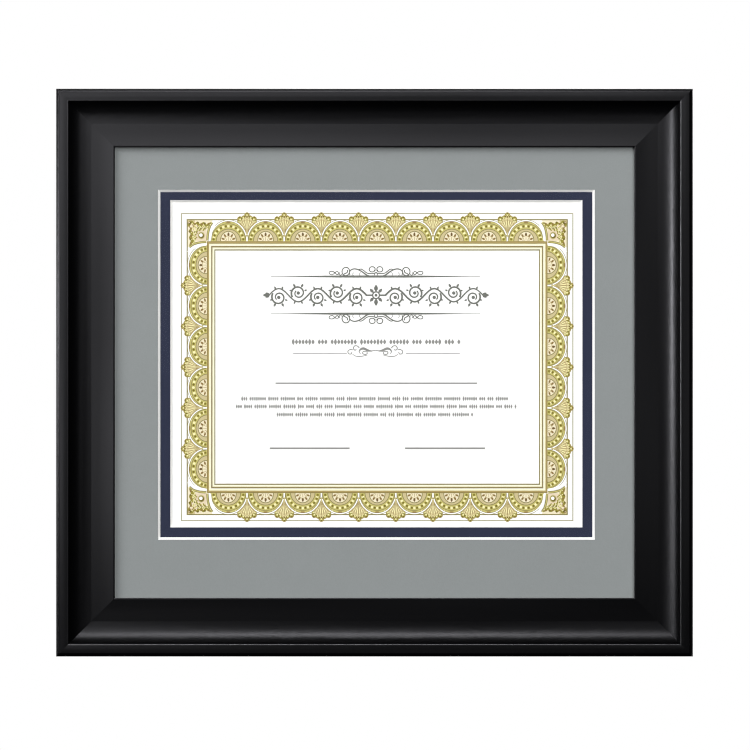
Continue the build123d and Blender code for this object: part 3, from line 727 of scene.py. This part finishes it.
def corner(sa, sb):
    """A corner square: an eyelet on a ground of leaves, with two pearls. sa and sb mirror it."""
    def put(x, y):
        return sa * (170.0 + x), sb * (125.5 + y)

    def swap(points):
        return [(y * 20.6 / 22.2, x * 22.2 / 20.6) for x, y in points]

    ground = [(-1.2, 0.4), (19.6, 0.4), (19.6, 21.6), (-5.4, 21.6), (-2.6, 14.0), (-1.6, 8.0)]
    cream.slab(laid(put, ground), 0.5)
    cream.slab(laid(put, swap(ground)), 0.75)
    fan.slab(laid(put, [(12.5, 14.5), (19.5, 14.5), (19.5, 21.5), (12.5, 21.5)]), 2.5)
    blush.slab(laid(put, smooth([(1.0, 1.4), (9.0, 0.8), (15.6, 3.2), (13.6, 9.0), (17.8, 19.4), (9.0, 15.4),
                                 (3.6, 16.4), (0.6, 9.0)], 4, True)), 1)
    fan.line(laid(put, smooth([(1.4, 12.4), (5.0, 12.0), (9.0, 10.8), (11.2, 8.0), (11.4, 4.4), (12.0, 1.6)], 5)), 1.0, 2)
    # the eyelet, lit from the upper left
    tan.dot(*put(5.9, 6.1), 3.6, 3, 3.9, 16)
    olive.dot(*put(5.9, 6.1), 2.9, 4, 3.1, 16)
    x, y = put(5.9, 6.1)
    dark.dot(x + 0.45, y - 0.5, 2.3, 5, sides=14)
    white.dot(x - 0.35, y + 0.4, 1.75, 6, sides=14)
    for x, y, r in ((15.7, 15.0, 2.3), (14.2, 11.3, 1.8), (10.8, 15.6, 1.6), (17.4, 18.6, 1.7)):
        x, y = put(x, y)
        brown.dot(x, y, r, 4.5, sides=12)
        blush.dot(x - 0.1, y + 0.1, r * 0.74, 5.5, sides=12)
        cream.dot(x - 0.4, y + 0.4, r * 0.42, 6.5, sides=8)
    leaf = [(18.4, 20.2), (15.0, 20.9), (12.6, 18.4), (9.4, 20.2), (7.2, 18.0), (3.6, 19.6), (0.6, 17.8), (-3.2, 19.4),
            (-4.6, 18.0), (-2.6, 15.4), (0.6, 13.8), (3.0, 16.2), (5.0, 13.6), (7.6, 15.6), (10.4, 13.8), (13.6, 17.2)]
    for m, shape in enumerate((leaf, swap(leaf))):
        olive.slab(laid(put, smooth(shape, 3, True)), 3 + 0.5 * m)
        inner = [(x * 0.9 + 1.0, y * 0.95 + 0.3) for x, y in shape]
        moss.line(laid(put, smooth(inner[9:], 3)), 1.2, 7 + 0.5 * m)
        pale.line(laid(put, smooth([(x, y + 0.9) for x, y in inner[9:]], 3)), 0.5, 7.25 + 0.5 * m)
    dots = ((16.6, 18.9), (12.4, 17.6), (9.2, 18.9), (5.4, 17.4), (2.4, 18.2), (-1.4, 17.8))
    for m, row in enumerate((dots, swap(dots))):
        for k, (x, y) in enumerate(row):
            (dark, brown)[k % 2].dot(*put(x, y), 1.0, 8, sides=8)
            pale.dot(*put(x - 1.6, y - 0.6), 0.55, 9, sides=6)
    strokes = (((10.6, 8.6), (10.2, 11.4), (8.8, 14.4)), ((7.6, 10.4), (7.0, 12.6), (5.4, 14.4)),
               ((4.2, 10.8), (3.2, 12.8), (1.6, 14.2)))
    for m, group in enumerate((strokes, [swap(g) for g in strokes])):
        for stroke in group:
            olive.line(laid(put, smooth(list(stroke), 4)), lambda t: 1.1 + 0.9 * t, 7 + 0.5 * m)
            pale.line(laid(put, smooth([(x + 0.9, y + 0.2) for x, y in stroke], 4)), 0.55, 9.5 + 0.5 * m)
    # the double curve that closes the first arch of each side
    sweep = [(-5.8, 18.8), (-3.4, 15.0), (-2.0, 10.4), (-1.3, 6.0), (-1.0, 0.9)]
    band = [(-9.8, 20.6), (-8.1, 18.6), (-6.2, 15.4), (-4.2, 10.3), (-3.2, 5.8), (-2.6, 1.2)]
    for m, (dark_path, white_path) in enumerate(((sweep, band), (swap(sweep), swap(band)))):
        line.line(laid(put, smooth(dark_path, 5)), 0.8, 7)
        moss.line(laid(put, smooth([(x + 0.9, y + 0.5) if m == 0 else (x + 0.5, y + 0.9) for x, y in dark_path], 5)), 1.2, 6)
        line.line(laid(put, smooth([(x + 1.6, y + 0.2) if m == 0 else (x + 0.2, y + 1.6) for x, y in dark_path], 5)), 0.6, 7.25)
        white.line(laid(put, smooth(white_path, 5)), 2.5, 11 + 0.3 * m)


for sa in (-1, 1):
    for sb in (-1, 1):
        corner(sa, sb)


# ---- the middle of the sheet: rules, scrolls and rows of small ornament
def rule(b, a0, a1, width, ink, level=1, tip=0.0):
    """A level rule; with a tip, its ends thin out over that share of its length."""
    n = 24 if tip else 1
    ink.line([(a0 + (a1 - a0) * i / n, b) for i in range(n + 1)],
             (lambda t: width * max(0.18, min(1.0, t / tip, (1 - t) / tip))) if tip else width, level)


def scroll(b0, up):
    """The scrollwork that stands on a rule, mirrored about its middle. up is 1, or -1 to hang it below."""
    def put(x, y):
        return -1.2 + x, b0 + up * y

    for m in (-1, 1):
        def at(points):
            return [put(m * x, y) for x, y in points]
        # the eye of the scroll and its curl
        grey.line(at(smooth([(0.6, 6.2), (1.7, 5.3), (3.2, 4.6), (5.6, 5.0), (6.8, 7.0), (5.7, 9.2), (3.6, 9.8),
                             (1.5, 9.0), (0.9, 7.0), (2.0, 5.9)], 5)), 0.95, 2.0 + 0.25 * m)
        # two long stems
        grey.line(at(smooth([(0.0, 3.6), (4.2, 2.9), (8.8, 3.4), (12.6, 6.2), (15.0, 7.4), (17.2, 7.0)], 5)), 0.95, 2)
        grey.line(at(smooth([(6.4, 0.3), (9.6, 1.6), (13.4, 4.4), (17.6, 6.8), (21.8, 7.6), (25.2, 6.4), (26.6, 4.0),
                             (26.0, 1.6)], 5)), lambda t: 1.45 - 0.5 * t, 3 + 0.5 * (m > 0))
        pencil.line(at(smooth([(10.8, 0.4), (15.6, 0.9), (16.6, 2.6), (15.2, 4.0)], 4)), 0.55, 1.5)
        pencil.line(at(smooth([(18.6, 0.6), (22.0, 0.8), (23.4, 2.4), (22.2, 3.9)], 4)), 0.55, 1.5)
        # the leaf loop
        grey.line([put(m * (30.2 + x * 0.94 - y * 0.22), 5.0 + y + x * 0.2)
                   for x, y in arc(0, 0, 3.9, 4.1, 0, 345, 24)], 1.0, 4, True)
        grey.line(at(smooth([(28.4, 6.6), (28.8, 4.2), (31.0, 3.0), (33.0, 1.6)], 4)), 1.0, 5)
        grey.line(at(smooth([(28.0, 0.5), (30.0, 0.3), (33.2, 2.6)], 4)), 0.65, 2)
        # the end curl
        grey.line(at(smooth([(33.8, 2.8), (36.0, 1.4), (38.6, 5.2), (41.4, 3.4), (43.6, 1.8), (46.4, 2.6), (46.6, 4.6),
                             (43.8, 5.2), (41.0, 3.8), (38.8, 1.8), (36.2, 3.9)], 5)),
                  lambda t: 0.62 + 0.33 * t, 3 + 0.5 * (m > 0))
    grey.line([put(x, 2.2 + y) for x, y in arc(0, 0, 1.4, 1.9, -120, 120, 12)], 0.8, 2.5)


def ramp_rule(b, up):
    rule(b, -106.2, 102.8, 2.2, grey, 1, 0.34)
    scroll(b, up)


ramp_rule(90.6, 1)
ramp_rule(53.4, -1)


LEAF = [(-0.25, 0), (-0.95, 0.9), (-1.15, 1.9), (-0.55, 3.2), (0, 3.9), (0.55, 3.2), (1.15, 1.9), (0.95, 0.9), (0.25, 0)]


def rinceau(b, middle, half, rise, ink):
    """A symmetric band of scrolling stems: five bays each side of a fleuron."""
    bays, start = 5, 9.5
    pitch = (half - 6.0 - start) / bays
    for m in (-1, 1):
        def put(x, y, m=m):
            return middle + m * x, b + y

        def leaf(x, y, way, size, level):
            c, d = math.cos(math.radians(way)), math.sin(math.radians(way))
            ink.slab([put(x + size * (u * d + v * c), y + size * (v * d - u * c)) for u, v in LEAF], level)

        steps = bays * 10
        ink.line([put(start + pitch * i / 10, rise * 0.30 * math.sin(math.pi * i / 10)) for i in range(steps + 1)],
                 lambda t: 1.9 - 0.6 * t, 2)
        for k in range(bays):
            up = 1 if k % 2 == 0 else -1
            x0 = start + pitch * (k + 0.5)
            y0 = up * -rise * 0.10
            spiral = []
            for r in range(0, 441, 20):
                size = rise * 0.33 * (1 - 0.60 * r / 440)
                spiral.append((x0 + size * math.cos(math.radians(35 - r)), y0 + up * size * math.sin(math.radians(35 - r))))
            ink.line([put(*q) for q in spiral], lambda t: 1.8 - 0.6 * t, 3 + 0.5 * (k % 2))
            ink.dot(*put(x0, y0), 1.7, 4, sides=12)
            for n, (turn, size) in enumerate(((-18, 0.75), (-62, 1.0), (-118, 1.0), (-160, 0.75))):
                base = rise * 0.30
                leaf(x0 + base * math.cos(math.radians(turn)), y0 + up * base * math.sin(math.radians(turn)),
                     up * turn, size, 2.5 + 0.25 * n)
            leaf(x0 - pitch * 0.16, up * rise * 0.27, up * 112, 0.8, 4.5)
            leaf(x0 + pitch * 0.16, up * rise * 0.27, up * 68, 0.8, 4.75)
        leaf(start + pitch * bays - 0.5, 0.0, -30, 1.2, 5)
        leaf(start + pitch * bays - 0.5, 0.2, 30, 1.2, 5.25)
        leaf(start + pitch * bays, 0.1, 0, 1.6, 5.5)
        for n, way in enumerate((48, -48)):
            leaf(2.6, 2.6 if way > 0 else -2.6, way, 1.35, 2.5 + 0.25 * n)
        ink.line([put(3.6, 0), put(start + 0.6, 0)], 1.6, 3.75)
    for k, s in enumerate((1, -1)):
        ink.slab([(middle + u * 1.7, b + s * (v * 1.75 + 3.9)) for u, v in LEAF], 4 + 0.25 * k)
    ink.line(arc(middle, b, 3.4, 3.4, 0, 345, 24), 1.3, 5, True)
    ink.dot(middle, b, 1.4, 6, sides=12)


rinceau(71.9, -1.2, 113.0, 22.0, grey)


def beading(b, a0, a1, size, pitch, ink, seed):
    """A row of small lozenges in groups of uneven length."""
    a, state = a0, seed
    while a < a1:
        state = (state * 73 + 41) % 211
        length = min(3 + state % 6, max(1, int((a1 - a) / pitch)))
        for k in range(length):
            tall = size * (1.25 if (state + 3 * k) % 5 == 0 else 1.0)
            x = a + k * pitch
            ink.slab([(x - pitch * 0.42, b - tall * 0.25), (x, b - tall), (x + pitch * 0.42, b - tall * 0.25),
                      (x + pitch * 0.42, b + tall * 0.25), (x, b + tall), (x - pitch * 0.42, b + tall * 0.25)], 1)
        a += (length + 0.9) * pitch


beading(25.2, -84.0, 83.6, 2.6, 3.3, pencil, 7)
for row, (b, a0, a1) in enumerate(((-31.6, -135.0, 132.6), (-39.4, -140.4, 138.6), (-47.5, -99.6, 98.2))):
    beading(b, a0, a1, 2.2, 2.1, pencil, 11 + 17 * row)

# the divider: two thin rules and a winged flourish
for a0, a1 in ((-84.2, -30.4), (28.6, 82.7)):
    rule(13.7, a0, a1, 0.62, pencil)
for m in (-1, 1):
    def at(points, m=m):
        return [(-1.9 + m * x, 16.6 + y) for x, y in points]
    pencil.line(at(smooth([(0, 0.2), (4.2, -0.4), (8.2, 0.6), (11.8, 2.0), (14.6, 1.2), (16.2, -1.2), (14.8, -3.2)], 5)),
                lambda t: 0.65 + 1.8 * math.sin(math.pi * min(1.0, t * 1.05)) ** 2, 1.5 + 0.25 * m)
    pencil.line(at(smooth([(3.4, -0.6), (8.0, -0.8), (11.8, -1.0), (12.6, -2.9), (10.4, -4.0), (8.2, -3.2), (8.4, -1.6)], 4)), 0.9, 1)
    pencil.line(at(smooth([(16.0, 2.4), (17.8, 4.4), (20.6, 4.6), (22.0, 2.2), (20.6, 0.4), (18.8, 0.9)], 4)), 0.95, 2)
    pencil.line(at(smooth([(22.4, 0.6), (25.0, 1.0), (27.4, -0.8), (26.6, -3.2), (24.2, -3.4), (23.4, -1.6)], 4)), 0.85, 1)
    pencil.line(at(smooth([(22.8, -3.6), (19.6, -5.6), (15.2, -5.9), (11.6, -5.4), (7.6, -4.4)], 4)),
                lambda t: 0.5 + 0.35 * math.sin(math.pi * t), 1)

rule(-16.1, -101.6, 99.9, 1.35, pencil)
rule(-81.2, -107.4, -27.6, 1.65, pencil)
rule(-81.2, 27.8, 107.8, 1.65, pencil)

for ink in INKS.values():
    ink.build()

# ---------------------------------------------------------------- floor
floor_mesh = bpy.data.meshes.new("floor")
side = 4.0
floor_mesh.from_pydata([(-side, -side, 0), (side, -side, 0), (side, side, 0), (-side, side, 0)], [], [(0, 1, 2, 3)])
floor = bpy.data.objects.new("floor", floor_mesh)
scene.collection.objects.link(floor)
floor.location = (0, 0, MIDDLE_Z - FRAME_HALF_H - 0.0004)
pale = Shader("pale_floor")
pale.set(Base_Color=pale.mix(pale.noise(30.0, 3.0), (0.80, 0.80, 0.79), (0.83, 0.83, 0.82)), Roughness=0.7)
floor_mesh.materials.append(pale.material)
floor.visible_glossy = False
floor.visible_diffuse = False
floor.visible_shadow = False
